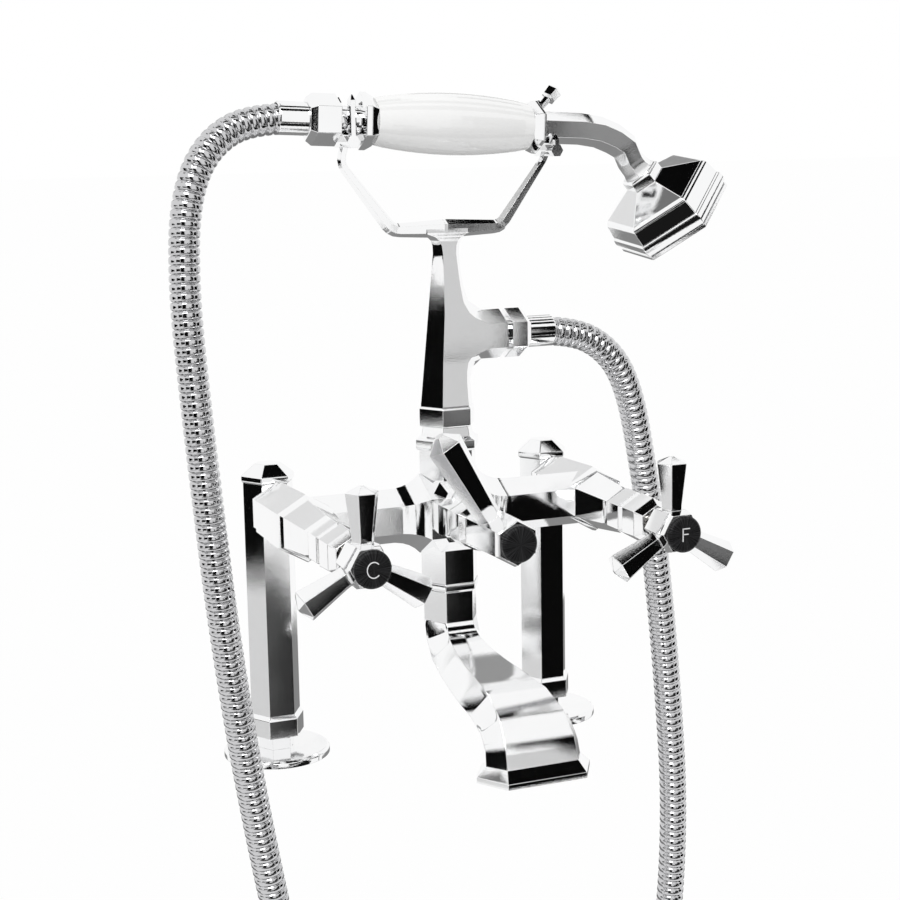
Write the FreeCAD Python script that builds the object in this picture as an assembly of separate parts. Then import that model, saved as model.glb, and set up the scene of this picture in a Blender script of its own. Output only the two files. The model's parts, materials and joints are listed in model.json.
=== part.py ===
"""Deck mounted bath mixer with a cradle, a hand shower and a hose. Millimetres, +Z up.

The origin is on the deck, midway between the two legs. The valves point to -Y.
"""
import FreeCAD
import Part

import math
import os

os.makedirs("parts", exist_ok=True)
V = FreeCAD.Vector

# Legs and deck
LEG_SPACING = 180.0
FLANGE_R = 32.0
FLANGE_T = 4.7
NECK_R = 11.0
SOCKET_R = 7.6
SOCKET_DEPTH = 20.0
SHANK_R = 9.4
SHANK_TOP = 45.0
NUT_Z = 13.4
NUT_H = 13.5
NUT_R = 17.4
LEG_R = 15.3
LEG_TOP = 168.5
LEG_BORE = 7.0
CAP_R = 16.5
CAP_RIM = 172.8
CAP_TOP = 179.5
CAP_TOP_R = 8.0
CAP_PEG = 8.0

# Casting
AXIS_Z = 153.7
BODY_Y = -63.0
ARM_R = 16.5
HUB_R = 17.5
STAR_R = 23.6
STAR_FRONT = 79.0
HUB_TOP = 191.0
HUB_BOTTOM = 113.4
WATER_R = 5.0
GRID_Z = 40.0
GRID_T = 2.0

# Valves, as distances in front of the leg centre
SPIGOT_R = 6.0
SPIGOT_DEEP = 6.0
POCKET_R = 9.0
POCKET_END = 61.0
BODY_FRONT = 110.0
BONNET_FRONT = 150.0
HANDLE_BACK = 154.0
HANDLE_FRONT = 178.0
HANDLE_R = 13.0
SPINDLE_R = 5.0
DISC_T = 3.0
SPOKE_Y = 166.5
SPOKE_LONG = 41.0
SPOKE_SHOULDER = 37.5
SPOKE_BASE_R = 6.2
SPOKE_TIP_R = 9.2
INDEX_R = 10.2
INDEX_T = 4.0

# Diverter, as distances in front of the leg centre
DIV_BOSS = 96.0
DIV_BONNET_END = 112.0
DIV_HUB_BACK = 114.0
DIV_HUB_END = 160.0
DIV_HUB_R = 14.2
LEVER_Y = 136.0
LEVER_LEAN = 31.0
LEVER_SHOULDER = 61.0
LEVER_LONG = 67.0
LEVER_BASE_R = 7.5
LEVER_TIP_R = 10.5

# Riser and cradle
FLANGE2_Z = 191.0
FLANGE2_H = 8.0
FLANGE2_R = 19.6
RISER_NUT_Z = 204.6
RISER_NUT_H = 11.4
RISER_NUT_R = 17.1
RISER_LIP = 2.7
RISER_BASE_R = 15.8
RISER_LEFT_R = 5.4
RISER_RIGHT_R = 8.0
OUTLET_Z = 255.5
OUTLET_X = 36.9
COLLAR_HEX_R = 14.2
COLLAR_X = 14.0
COLLAR_LONG = 20.6
BAR_Z = 317.0
BAR_R = 5.4
ARM_TOP_R = 2.6
ARM_LOW_R = 3.9
ARM_BEND = 9.0
ARM_LEFT_KNEE_X = -61.0
ARM_LEFT_KNEE_Z = 355.0
ARM_LEFT_FOOT_X = -31.5
ARM_RIGHT_KNEE_X = 62.6
ARM_RIGHT_KNEE_Z = 354.0
ARM_RIGHT_FOOT_X = 35.3
FORK_R = 3.8
PRONG_R = 2.5
PRONG_GAP = 1.0

# Hand shower, measured along its own axis from the middle of the cradle
GRIP_TILT = 2.75
GRIP_Z = 375.44
LEFT_FRONT_TIP_Z = GRIP_Z + 16.56
LEFT_BACK_TIP_Z = GRIP_Z + 15.56
RIGHT_FRONT_TIP_Z = GRIP_Z - 6.94
RIGHT_BACK_TIP_Z = GRIP_Z + 12.56
CATCH_Z = GRIP_Z + 7.56
HOSE_NUT_R = 14.4
HANDSET_NUT_LONG = 17.2
RISER_NUT_LONG = 12.6
STUB_R = 6.6
FERRULE_LONG = 17.0
FERRULE_LIP = 0.7
TAIL_NUT_END = -63.3
TAIL_R = 8.0
COLLAR_R = 16.0
GRIP_START = -41.6
GRIP_END = 52.0
GRIP_R = 17.4
GRIP_END_R = 13.0
CORE_R = 6.0
FRONT_COLLAR_END = 61.0
FORK_LEFT = -57.3
FORK_RIGHT = 65.5
HAND_NECK_R = 9.2
HEAD_R = 38.4
HEAD_AIM = 42.0
HEAD_ROLL = 5.0
HEAD_NUT_X = 126.0
HEAD_NUT_Z = 346.0
HEAD_NUT_R = 12.3
HEAD_NUT_LONG = 6.4
NECK_END_R = 10.0
BELL_SHOULDER = 9.5
HEAD_DEEP = 30.6
RIM_T = 9.0
PLATE_T = 2.4

# Fits
SHAFT_GAP = 0.05
SEAT_GAP = 0.3
HOSE_R = 8.5
HOSE_BORE = 5.0
HOSE_TUBE_R = 7.95
HOSE_FIRST_RUN = 30.5

ALONG_Y = V(0, -1, 0)
ALONG_X = V(1, 0, 0)
UP = V(0, 0, 1)
FLAT = math.cos(math.radians(30))


def hexagon(centre, along, corner, r):
    """A hexagon across `along`, with one corner to the side `corner`."""
    side = along.cross(corner).normalize()
    toward = side.cross(along).normalize()
    points = []
    for k in range(6):
        a = math.radians(60 * k)
        points.append(centre + toward * (r * math.cos(a)) + side * (r * math.sin(a)))
    return Part.makePolygon(points + points[:1])


def hex_bar(start, along, corner, stations):
    """A bar through hexagons, each given as its distance from the start and its radius."""
    wires = [hexagon(start + along * s, along, corner, r) for s, r in stations]
    return Part.makeLoft(wires, True, True)


def rod(start, along, r, length):
    return Part.makeCylinder(r, length, start, along)


def ring(start, along, outer, inner, length):
    return rod(start, along, outer, length).cut(rod(start, along, inner, length))


def turned(start, along, outline):
    """A solid turned round `along`, from pairs of distance and radius."""
    points = [V(r, 0, s) for s, r in outline]
    points = [V(0, 0, outline[0][0])] + points + [V(0, 0, outline[-1][0])]
    face = Part.Face(Part.makePolygon(points + points[:1]))
    solid = face.revolve(V(0, 0, 0), UP, 360)
    solid.Placement = FreeCAD.Placement(start, FreeCAD.Rotation(UP, along))
    return solid


def fused(shapes):
    whole = shapes[0].multiFuse(shapes[1:])
    return whole.removeSplitter()


def save(name, shape):
    solids = shape.Solids
    if len(solids) != 1 or not shape.isValid():
        print("CHECK", name, len(solids), shape.isValid())
    solids[0].exportStep("parts/" + name + ".step")
    print(name, round(solids[0].Volume), "mm3")


def leg_pieces(side, x):
    foot = V(x, 0, 0)
    flange = turned(foot, UP, [(0, FLANGE_R), (FLANGE_T - 1.5, FLANGE_R), (FLANGE_T, FLANGE_R - 1.5)])
    save("deck_flange_" + side, flange.cut(rod(foot, UP, SHANK_R + SHAFT_GAP, FLANGE_T)))
    tail = fused([
        rod(foot, UP, SHANK_R, SHANK_TOP),
        hex_bar(foot, UP, ALONG_X, [(FLANGE_T, NECK_R), (NUT_Z, NECK_R)]),
    ])
    tail = tail.cut(rod(foot, UP, SOCKET_R, SOCKET_DEPTH))
    save("leg_tail_" + side, tail.cut(rod(foot, UP, WATER_R, SHANK_TOP)))
    top = NUT_Z + NUT_H
    nut = hex_bar(foot, UP, ALONG_X, [(NUT_Z, NUT_R), (top - 2.5, NUT_R), (top, LEG_R)])
    save("leg_nut_" + side, nut.cut(rod(V(x, 0, NUT_Z), UP, SHANK_R + SHAFT_GAP, NUT_H)))
    leg = hex_bar(foot, UP, ALONG_X, [(top, LEG_R), (LEG_TOP, LEG_R)])
    leg = leg.cut(rod(V(x, 0, top), UP, SHANK_R + SHAFT_GAP, SHANK_TOP - top))
    leg = leg.cut(rod(V(x, 0, SHANK_TOP), UP, LEG_BORE, LEG_TOP - SHANK_TOP))
    inner = LEG_R * math.cos(math.radians(30)) + 1
    leg = leg.cut(rod(V(x, -inner, AXIS_Z), V(0, 1, 0), SPIGOT_R + SHAFT_GAP, inner))
    save("leg_" + side, leg)
    cap = fused([
        hex_bar(foot, UP, ALONG_X, [
            (LEG_TOP, LEG_R), (LEG_TOP + 1.2, CAP_R), (CAP_RIM, CAP_R), (CAP_TOP, CAP_TOP_R),
        ]),
        rod(V(x, 0, LEG_TOP - CAP_PEG), UP, LEG_BORE - SHAFT_GAP, CAP_PEG + 1),
    ])
    save("leg_cap_" + side, cap)


def casting():
    """The valve bodies, the cross arms and the hub in one piece, with their pockets and waterways."""
    flat = LEG_R * math.cos(math.radians(30))
    shapes = []
    cuts = []
    for x in (-LEG_SPACING / 2, LEG_SPACING / 2):
        start = V(x, 0, AXIS_Z)
        shapes.append(hex_bar(start, ALONG_Y, UP, [
            (flat, ARM_R - 1), (flat + 4, ARM_R + 0.5), (23, ARM_R + 0.5), (25, ARM_R - 1.5),
            (27, ARM_R + 2), (70, ARM_R + 3), (74, ARM_R + 2.5), (77, ARM_R + 0.5),
            (106, ARM_R - 2.5), (BODY_FRONT, ARM_R - 4),
        ]))
        shapes.append(rod(V(x, -flat + SPIGOT_DEEP, AXIS_Z), ALONG_Y, SPIGOT_R, SPIGOT_DEEP + 2))
        cuts.append(rod(V(x, -POCKET_END, AXIS_Z), ALONG_Y, POCKET_R, BODY_FRONT - POCKET_END))
        cuts.append(rod(V(x, -flat + SPIGOT_DEEP, AXIS_Z), ALONG_Y, WATER_R - 1, POCKET_END))
    start = V(-LEG_SPACING / 2, BODY_Y, AXIS_Z)
    arm = ARM_R - 0.6
    half = LEG_SPACING / 2
    flare = [(34, 0.0), (29, 0.9), (25, 2.4), (21.5, 4.6), (18.5, 7.4)]
    stations = [(0, arm)] + [(half - d, arm + up) for d, up in flare]
    stations += [(half + d, arm + up) for d, up in reversed(flare)] + [(LEG_SPACING, arm)]
    shapes.append(hex_bar(start, ALONG_X, UP, stations))
    shapes.append(hex_bar(V(0, BODY_Y, 0), UP, ALONG_X, [(HUB_BOTTOM, HUB_R), (HUB_TOP, HUB_R)]))
    shapes.append(hex_bar(V(0, 0, AXIS_Z), ALONG_Y, ALONG_X, [
        (-BODY_Y - 20, STAR_R - 5), (-BODY_Y - 15, STAR_R), (STAR_FRONT, STAR_R),
        (STAR_FRONT + 4, STAR_R - 7),
    ]))
    shapes.append(hex_bar(V(0, 0, AXIS_Z), ALONG_Y, UP, [
        (STAR_FRONT, ARM_R + 1), (DIV_BOSS - 6, ARM_R - 0.4), (DIV_BOSS, ARM_R - 1.5),
    ]))
    cuts.append(rod(V(0, BODY_Y, HUB_BOTTOM), UP, WATER_R + 3, HUB_TOP - HUB_BOTTOM))
    cuts.append(rod(V(0, BODY_Y - 8, AXIS_Z), ALONG_Y, POCKET_R, DIV_BOSS + BODY_Y - 8))
    cuts.append(rod(V(-LEG_SPACING / 2, BODY_Y, AXIS_Z), ALONG_X, WATER_R, LEG_SPACING))
    body = fused(shapes)
    for tool in cuts:
        body = body.cut(tool)
    save("mixer_body", body)


def valve_pieces(side, x):
    axis = V(x, 0, AXIS_Z)

    def at(y):
        return axis + ALONG_Y * y

    inside = POCKET_R - SHAFT_GAP
    bore = SPINDLE_R + SHAFT_GAP
    disc_r = inside - 1
    end = POCKET_END
    sleeve = ring(at(end), ALONG_Y, inside, disc_r + SHAFT_GAP, BODY_FRONT - end)
    save("cartridge_sleeve_" + side, sleeve)
    fixed = rod(at(end), ALONG_Y, disc_r, DISC_T)
    moving = rod(at(end + DISC_T + SHAFT_GAP), ALONG_Y, disc_r - SEAT_GAP, DISC_T - SHAFT_GAP)
    for z in (-4.5, 4.5):
        port = rod(at(end) + V(0, 0, z), ALONG_Y, 2.2, DISC_T)
        fixed = fixed.cut(port)
    moving = moving.cut(rod(at(end + DISC_T) + V(4.5, 0, 0), ALONG_Y, 2.2, DISC_T))
    save("fixed_disc_" + side, fixed)
    save("moving_disc_" + side, moving)
    spindle = fused([
        rod(at(end + 2 * DISC_T), ALONG_Y, disc_r - SEAT_GAP, 5),
        rod(at(end + 2 * DISC_T), ALONG_Y, SPINDLE_R, HANDLE_FRONT - 5 - end - 2 * DISC_T),
    ])
    screw_end = HANDLE_FRONT - 5
    spindle = spindle.cut(rod(at(screw_end - 9), ALONG_Y, 2.0 + SHAFT_GAP, 9))
    save("spindle_" + side, spindle)
    seal_at = end + 2 * DISC_T + 7
    save("spindle_seal_" + side, ring(at(seal_at), ALONG_Y, SPINDLE_R + 2.4, bore, 2.4))
    front = BODY_FRONT
    bonnet = hex_bar(axis, ALONG_Y, UP, [
        (front, ARM_R - 4), (front + 3, ARM_R - 2.5), (front + 16, ARM_R - 2.5), (front + 19, ARM_R - 4.5),
        (front + 22, ARM_R - 2), (front + 35, ARM_R - 2.5), (BONNET_FRONT, ARM_R - 6),
    ])
    save("bonnet_" + side, bonnet.cut(rod(at(front), ALONG_Y, bore, BONNET_FRONT - front)))
    shapes = [hex_bar(axis, ALONG_Y, ALONG_X, [
        (HANDLE_BACK, HANDLE_R - 4), (HANDLE_BACK + 3, HANDLE_R - 1), (HANDLE_FRONT - 5, HANDLE_R),
        (HANDLE_FRONT, HANDLE_R - 1.5),
    ])]
    for angle in (90, 210, 330):
        a = math.radians(angle)
        out = V(math.cos(a), 0, math.sin(a))
        across = out.cross(ALONG_Y)
        shapes.append(hex_bar(at(SPOKE_Y), out, across, [
            (2, SPOKE_BASE_R - 0.5), (14, SPOKE_BASE_R), (SPOKE_SHOULDER, SPOKE_TIP_R), (SPOKE_LONG, 1.2),
        ]))
    handle = fused(shapes).cut(rod(at(HANDLE_BACK), ALONG_Y, bore, screw_end - HANDLE_BACK))
    handle = handle.cut(rod(at(screw_end - 1), ALONG_Y, 2.6, 3))
    handle = handle.cut(rod(at(HANDLE_FRONT - 4), ALONG_Y, INDEX_R - 2, 4))
    save("handle_" + side, handle)
    screw = fused([
        rod(at(screw_end - 8), ALONG_Y, 2.0, 9),
        rod(at(HANDLE_FRONT - 4), ALONG_Y, 4.0, 2.5),
    ])
    save("handle_screw_" + side, screw)
    cap = turned(at(0), ALONG_Y, [
        (HANDLE_FRONT, INDEX_R), (HANDLE_FRONT + INDEX_T - 1.2, INDEX_R),
        (HANDLE_FRONT + INDEX_T, INDEX_R - 1.4),
    ])
    save("index_cap_" + side, cap)


def diverter_pieces():
    axis = V(0, 0, AXIS_Z)

    def at(y):
        return axis + ALONG_Y * y

    inside = POCKET_R - SHAFT_GAP
    back = -BODY_Y + 8
    save("diverter_sleeve", ring(at(back + 4), ALONG_Y, inside, SPINDLE_R + 1.5, DIV_BOSS - back - 4))
    screw_end = DIV_HUB_END - 6
    spindle = fused([
        rod(at(back + SEAT_GAP), ALONG_Y, inside - 1, 4 - 2 * SEAT_GAP),
        rod(at(back + SEAT_GAP), ALONG_Y, SPINDLE_R, screw_end - back - SEAT_GAP),
    ])
    save("diverter_spindle", spindle.cut(rod(at(screw_end - 9), ALONG_Y, 2.0 + SHAFT_GAP, 9)))
    bonnet = hex_bar(axis, ALONG_Y, UP, [
        (DIV_BOSS, ARM_R - 2), (DIV_BOSS + 3, ARM_R - 0.5), (DIV_BONNET_END - 3, ARM_R - 1.5),
        (DIV_BONNET_END, ARM_R - 5),
    ])
    bonnet = bonnet.cut(rod(at(DIV_BOSS), ALONG_Y, SPINDLE_R + SHAFT_GAP, DIV_BONNET_END - DIV_BOSS))
    save("diverter_bonnet", bonnet)
    lean = math.radians(LEVER_LEAN)
    out = V(-math.sin(lean), 0, math.cos(lean))
    lever = fused([
        hex_bar(axis, ALONG_Y, UP, [
            (DIV_HUB_BACK, DIV_HUB_R - 3), (DIV_HUB_BACK + 4, DIV_HUB_R),
            (DIV_HUB_END - 4, DIV_HUB_R - 0.5), (DIV_HUB_END, DIV_HUB_R - 2),
        ]),
        hex_bar(at(LEVER_Y), out, out.cross(ALONG_Y), [
            (2, LEVER_BASE_R - 0.5), (16, LEVER_BASE_R), (LEVER_SHOULDER, LEVER_TIP_R), (LEVER_LONG, 3),
        ]),
    ])
    lever = lever.cut(rod(at(DIV_HUB_BACK), ALONG_Y, SPINDLE_R + SHAFT_GAP, screw_end - DIV_HUB_BACK))
    lever = lever.cut(rod(at(screw_end - 1), ALONG_Y, 2.6, 3))
    lever = lever.cut(rod(at(DIV_HUB_END - 4.5), ALONG_Y, INDEX_R - 2, 4.5))
    save("diverter_lever", lever)
    screw = fused([
        rod(at(screw_end - 8), ALONG_Y, 2.0, 9.5),
        rod(at(DIV_HUB_END - 4.5), ALONG_Y, 4.0, 2.5),
    ])
    save("diverter_screw", screw)
    cap = turned(axis, ALONG_Y, [
        (DIV_HUB_END, INDEX_R), (DIV_HUB_END + INDEX_T - 1.2, INDEX_R),
        (DIV_HUB_END + INDEX_T, INDEX_R - 1.4),
    ])
    save("diverter_cap", cap)


def spout_section(y, z, turn, half_front, half_full, half_deep):
    """A six sided section of the spout. Its turn is 0 where water runs down and 90 where it runs forward."""
    a = math.radians(turn)
    outward = V(0, -math.cos(a), math.sin(a))
    centre = V(0, y, z)
    points = [
        centre + V(-half_full, 0, 0),
        centre + V(-half_front, 0, 0) + outward * half_deep,
        centre + V(half_front, 0, 0) + outward * half_deep,
        centre + V(half_full, 0, 0),
        centre + V(half_front, 0, 0) - outward * half_deep,
        centre + V(-half_front, 0, 0) - outward * half_deep,
    ]
    return Part.makePolygon(points + points[:1])


def spout_pieces():
    top = HUB_BOTTOM
    foot = V(0, BODY_Y, 0)
    collar = hex_bar(foot, UP, ALONG_X, [
        (top - 5.4, HUB_R - 0.6), (top - 4.2, HUB_R + 0.6), (top - 1.2, HUB_R + 0.6), (top, HUB_R),
    ])
    save("spout_collar", collar.cut(rod(V(0, BODY_Y, top - 5.4), UP, WATER_R + 3, 5.4)))
    r = HUB_R - 1.0
    deep = r * math.cos(math.radians(30))
    rows = [
        (BODY_Y, top - 5.4, 0, r / 2, r, deep),
        (BODY_Y, 90, 0, r / 2, r, deep),
        (-67.5, 79, 30, 8.6, 17.0, 14.0),
        (-78, 70, 57, 9.5, 18.2, 13.6),
        (-95, 65.3, 79, 11.0, 20.0, 13.0),
        (-114, 63.0, 85, 13.0, 22.5, 12.4),
        (-135, 61.6, 85, 15.0, 25.5, 11.8),
        (-154, 59.3, 76, 17.0, 26.6, 12.0),
        (-168, 54.0, 52, 18.8, 26.8, 11.8),
        (-175, 46.5, 22, 20.2, 27.2, 11.6),
        (-177, 38.5, 3, 20.8, 27.8, 12.4),
        (-177.5, 33.6, 0, 23.0, 33.4, 17.8),
        (-177.5, 30.4, 0, 23.0, 33.4, 17.8),
    ]
    wall = 3.0
    outer = [spout_section(*row) for row in rows]
    inner = []
    for y, z, t, f, b, d in rows[:-2]:
        inner.append(spout_section(y, z, t, f - wall * 0.6, b - wall * 1.15, d - wall))
    y, z, t, f, b, d = rows[-1]
    inner.append(spout_section(y, z - 0.5, t, f - wall, b - wall * 1.6, d - wall))
    water = Part.makeLoft(inner, True, True)
    save("spout", Part.makeLoft(outer, True, True).cut(water))
    y = rows[-1][0]
    slab = Part.makeBox(4 * b, 4 * d, GRID_T, V(-2 * b, y - 2 * d, GRID_Z))
    holes = []
    for i in range(-5, 6):
        for k in (-1, 0, 1):
            if abs(i) < 4 or k == 0:
                holes.append(rod(V(i * 4.4, y + 0.5 + k * 4.4, GRID_Z - 1), UP, 1.6, GRID_T + 2))
    save("flow_straightener", water.common(slab).cut(Part.makeCompound(holes)))


def hand_axis(s):
    """A point on the hand shower's axis."""
    tilt = math.radians(GRIP_TILT)
    return V(s * math.cos(tilt), BODY_Y, GRIP_Z - s * math.sin(tilt))


def riser_section(z, deep, left, left_corner, right, right_corner):
    """A six sided section of the riser, flat to the front, that can reach further to one side."""
    points = [
        V(-left_corner, BODY_Y, z), V(-left, BODY_Y - deep, z), V(right, BODY_Y - deep, z),
        V(right_corner, BODY_Y, z), V(right, BODY_Y + deep, z), V(-left, BODY_Y + deep, z),
    ]
    return Part.makePolygon(points + points[:1])


def riser_stations(base):
    """The riser tapers to the bar, more on the left, and runs out to the outlet and along the bar."""
    height = BAR_Z - base
    collar_front = COLLAR_HEX_R / 2

    def left(z):
        return RISER_BASE_R - (RISER_BASE_R - RISER_LEFT_R) * (z - base) / height

    def right(z):
        return RISER_BASE_R - (RISER_BASE_R - RISER_RIGHT_R) * (z - base) / height

    rows = []
    for z, front, corner, swell in (
        (base, 0, 0, 0), (OUTLET_Z - 26, 0, 0, 0.3), (OUTLET_Z - 19, 0.6, 2.0, 0.4),
        (OUTLET_Z - COLLAR_HEX_R, 1.8, 8.0, 0.5), (OUTLET_Z - 11.5, 4.0, 9.6, 0.6),
        (OUTLET_Z - collar_front, 15.4, 9.6, 0.8), (OUTLET_Z + collar_front, 16.0, 10.2, 0.8),
        (OUTLET_Z + 11.0, 7.6, 10.4, 0.8), (OUTLET_Z + COLLAR_HEX_R, 4.0, 10.8, 0.8),
        (OUTLET_Z + 20, 1.2, 3.2, 2.6), (OUTLET_Z + 29, 0.2, 0.8, 2.1), (OUTLET_Z + 38, 0, 0, 1.1),
    ):
        deep = (left(z) + right(z)) / 2 * FLAT + swell * FLAT
        if abs(z - OUTLET_Z) <= COLLAR_HEX_R:
            deep = max((left(z) + right(z)) / 2, COLLAR_HEX_R) * FLAT
        rows.append((z, deep, left(z) / 2, left(z), right(z) / 2 + front, right(z) + corner))
    for drop, spread in ((14, 0.0), (9.5, 0.6), (6.5, 2.0), (4.4, 4.4), (BAR_R / 2, 9.0)):
        z = BAR_Z - drop
        thick = (left(z) + right(z)) / 2 * FLAT
        deep = thick + (BAR_R * FLAT - thick) * spread / 9.0
        rows.append((
            z, deep, left(z) / 2 + spread, left(z) + spread, right(z) / 2 + spread, right(z) + spread,
        ))
    rows.append((BAR_Z, BAR_R * FLAT - 0.1) + rows[-1][2:])
    return rows


def arm_bar(points, sizes, bend):
    """A hexagonal bar in a plane across Y, flat to the front, its corners rounded to the bend radius."""
    stations = [(points[0], points[1] - points[0], sizes[0])]
    for k in range(1, len(points) - 1):
        before = (points[k] - points[k - 1]).normalize()
        after = (points[k + 1] - points[k]).normalize()
        half = before.getAngle(after) / 2
        inward = (after - before).normalize()
        centre = points[k] + inward * (bend / math.cos(half))
        for share in (0.0, 0.33, 0.67, 1.0):
            along = before * (math.sin(2 * half * (1 - share))) + after * math.sin(2 * half * share)
            along.normalize()
            spoke = V(0, 1, 0).cross(along)
            if spoke.dot(inward) > 0:
                spoke = spoke * -1
            stations.append((centre + spoke * bend, along, sizes[k]))
    stations.append((points[-1], points[-1] - points[-2], sizes[-1]))
    wires = []
    for at, along, r in stations:
        along = V(along).normalize()
        wires.append(hexagon(at, along, along.cross(V(0, 1, 0)), r))
    return Part.makeLoft(wires, True, True)


def riser_pieces():
    foot = V(0, BODY_Y, 0)
    flange = hex_bar(foot, UP, ALONG_X, [
        (FLANGE2_Z, FLANGE2_R - 1), (FLANGE2_Z + 1.5, FLANGE2_R), (FLANGE2_Z + 6, FLANGE2_R),
        (FLANGE2_Z + FLANGE2_H, FLANGE2_R - 3.5), (RISER_NUT_Z, FLANGE2_R - 4.5),
    ])
    save("riser_flange", flange.cut(rod(V(0, BODY_Y, FLANGE2_Z), UP, WATER_R + 3, RISER_NUT_Z - FLANGE2_Z)))
    top = RISER_NUT_Z + RISER_NUT_H
    nut = hex_bar(foot, UP, ALONG_X, [
        (RISER_NUT_Z, RISER_NUT_R - 0.6), (RISER_NUT_Z + 1, RISER_NUT_R), (top - 1, RISER_NUT_R),
        (top, RISER_NUT_R - 0.6),
    ])
    shank = RISER_BASE_R - 5
    save("riser_nut", nut.cut(rod(V(0, BODY_Y, RISER_NUT_Z), UP, shank + SHAFT_GAP, RISER_NUT_H)))
    left = hand_axis(FORK_LEFT)
    right = hand_axis(FORK_RIGHT)
    seat = FORK_R * FLAT
    low_left = left.z - TAIL_R - SEAT_GAP - seat
    low_right = right.z - HAND_NECK_R - SEAT_GAP - seat
    base = top + RISER_LIP
    shapes = [
        rod(V(0, BODY_Y, RISER_NUT_Z), UP, shank, base - RISER_NUT_Z + 2),
        hex_bar(foot, UP, ALONG_X, [
            (top, RISER_BASE_R + 0.2), (base - 0.8, RISER_BASE_R + 0.2), (base, RISER_BASE_R),
        ]),
        Part.makeLoft([riser_section(*row) for row in riser_stations(base)], True, True),
        hex_bar(V(COLLAR_X, BODY_Y, OUTLET_Z), ALONG_X, UP, [
            (0, COLLAR_HEX_R), (COLLAR_LONG - 1, COLLAR_HEX_R), (COLLAR_LONG, COLLAR_HEX_R - 1.4),
        ]),
        rod(V(COLLAR_X, BODY_Y, OUTLET_Z), ALONG_X, STUB_R + 3, OUTLET_X - COLLAR_X),
        rod(V(OUTLET_X - 1, BODY_Y, OUTLET_Z), ALONG_X, STUB_R, RISER_NUT_LONG - 6),
    ]
    left_arm = [
        V(left.x, BODY_Y, low_left + 1), V(ARM_LEFT_KNEE_X, BODY_Y, ARM_LEFT_KNEE_Z),
        V(ARM_LEFT_FOOT_X, BODY_Y, BAR_Z), V(1, BODY_Y, BAR_Z),
    ]
    right_arm = [
        V(right.x, BODY_Y, low_right + 1), V(ARM_RIGHT_KNEE_X, BODY_Y, ARM_RIGHT_KNEE_Z),
        V(ARM_RIGHT_FOOT_X, BODY_Y, BAR_Z), V(-1, BODY_Y, BAR_Z),
    ]
    for points in (left_arm, right_arm):
        shapes.append(arm_bar(points, [ARM_TOP_R, ARM_TOP_R, ARM_LOW_R, BAR_R], ARM_BEND))
    reach = TAIL_R + PRONG_GAP + PRONG_R * FLAT
    for centre, low, tops in (
        (left, low_left, (LEFT_FRONT_TIP_Z, LEFT_BACK_TIP_Z)),
        (right, low_right, (RIGHT_FRONT_TIP_Z, RIGHT_BACK_TIP_Z)),
    ):
        outer = reach + PRONG_R * FLAT
        saddle = hex_bar(V(centre.x, BODY_Y, low), V(0, 1, 0), ALONG_X, [(-outer, FORK_R), (outer, FORK_R)])
        shapes.append(saddle)
        for y, tip in zip((-reach, reach), tops):
            shapes.append(hex_bar(V(centre.x, BODY_Y + y, 0), UP, ALONG_X, [
                (low, PRONG_R), (tip - 3, PRONG_R), (tip, 0.6),
            ]))
    lean = V(0.75, 0.2, 0.66).normalize()
    base = V(right.x, BODY_Y + reach, CATCH_Z)
    shapes.append(hex_bar(base, lean, UP, [(0, 2.2), (9, 2.6), (9.5, 4.6), (15, 5.2), (18, 2.2)]))
    casting_shape = fused(shapes)
    rising = rod(V(0, BODY_Y, RISER_NUT_Z), UP, WATER_R + 1, OUTLET_Z - RISER_NUT_Z + 3)
    leaving = rod(V(0, BODY_Y, OUTLET_Z), ALONG_X, WATER_R, OUTLET_X + RISER_NUT_LONG)
    save("cradle_riser", casting_shape.cut(rising).cut(leaving))


def hose_end(name, start, along, corner, long):
    """A swivel nut with its washer and a ferrule over the hose. It starts on the face that it closes on."""
    nut = hex_bar(start, along, corner, [
        (0, HOSE_NUT_R), (long - 3.5, HOSE_NUT_R), (long - 2, HOSE_NUT_R - 1.2), (long, HOSE_NUT_R - 2.6),
    ])
    nut = nut.cut(rod(start, along, STUB_R + SHAFT_GAP, long - 4))
    save("hose_nut_" + name, nut.cut(rod(start, along, HOSE_BORE - 0.2, long)))
    save("hose_washer_" + name, ring(start + along * (long - 7), along, STUB_R, HOSE_BORE, 3))
    end = start + along * long
    sleeve = turned(end + along * SHAFT_GAP, along, [
        (0, HOSE_R + FERRULE_LIP), (FERRULE_LONG - 1, HOSE_R + FERRULE_LIP), (FERRULE_LONG, HOSE_R + 0.2),
    ])
    within = HOSE_TUBE_R + SEAT_GAP
    save("hose_ferrule_" + name, sleeve.cut(rod(end, along, within, FERRULE_LONG + 1)))
    return end + along * SHAFT_GAP


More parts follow.
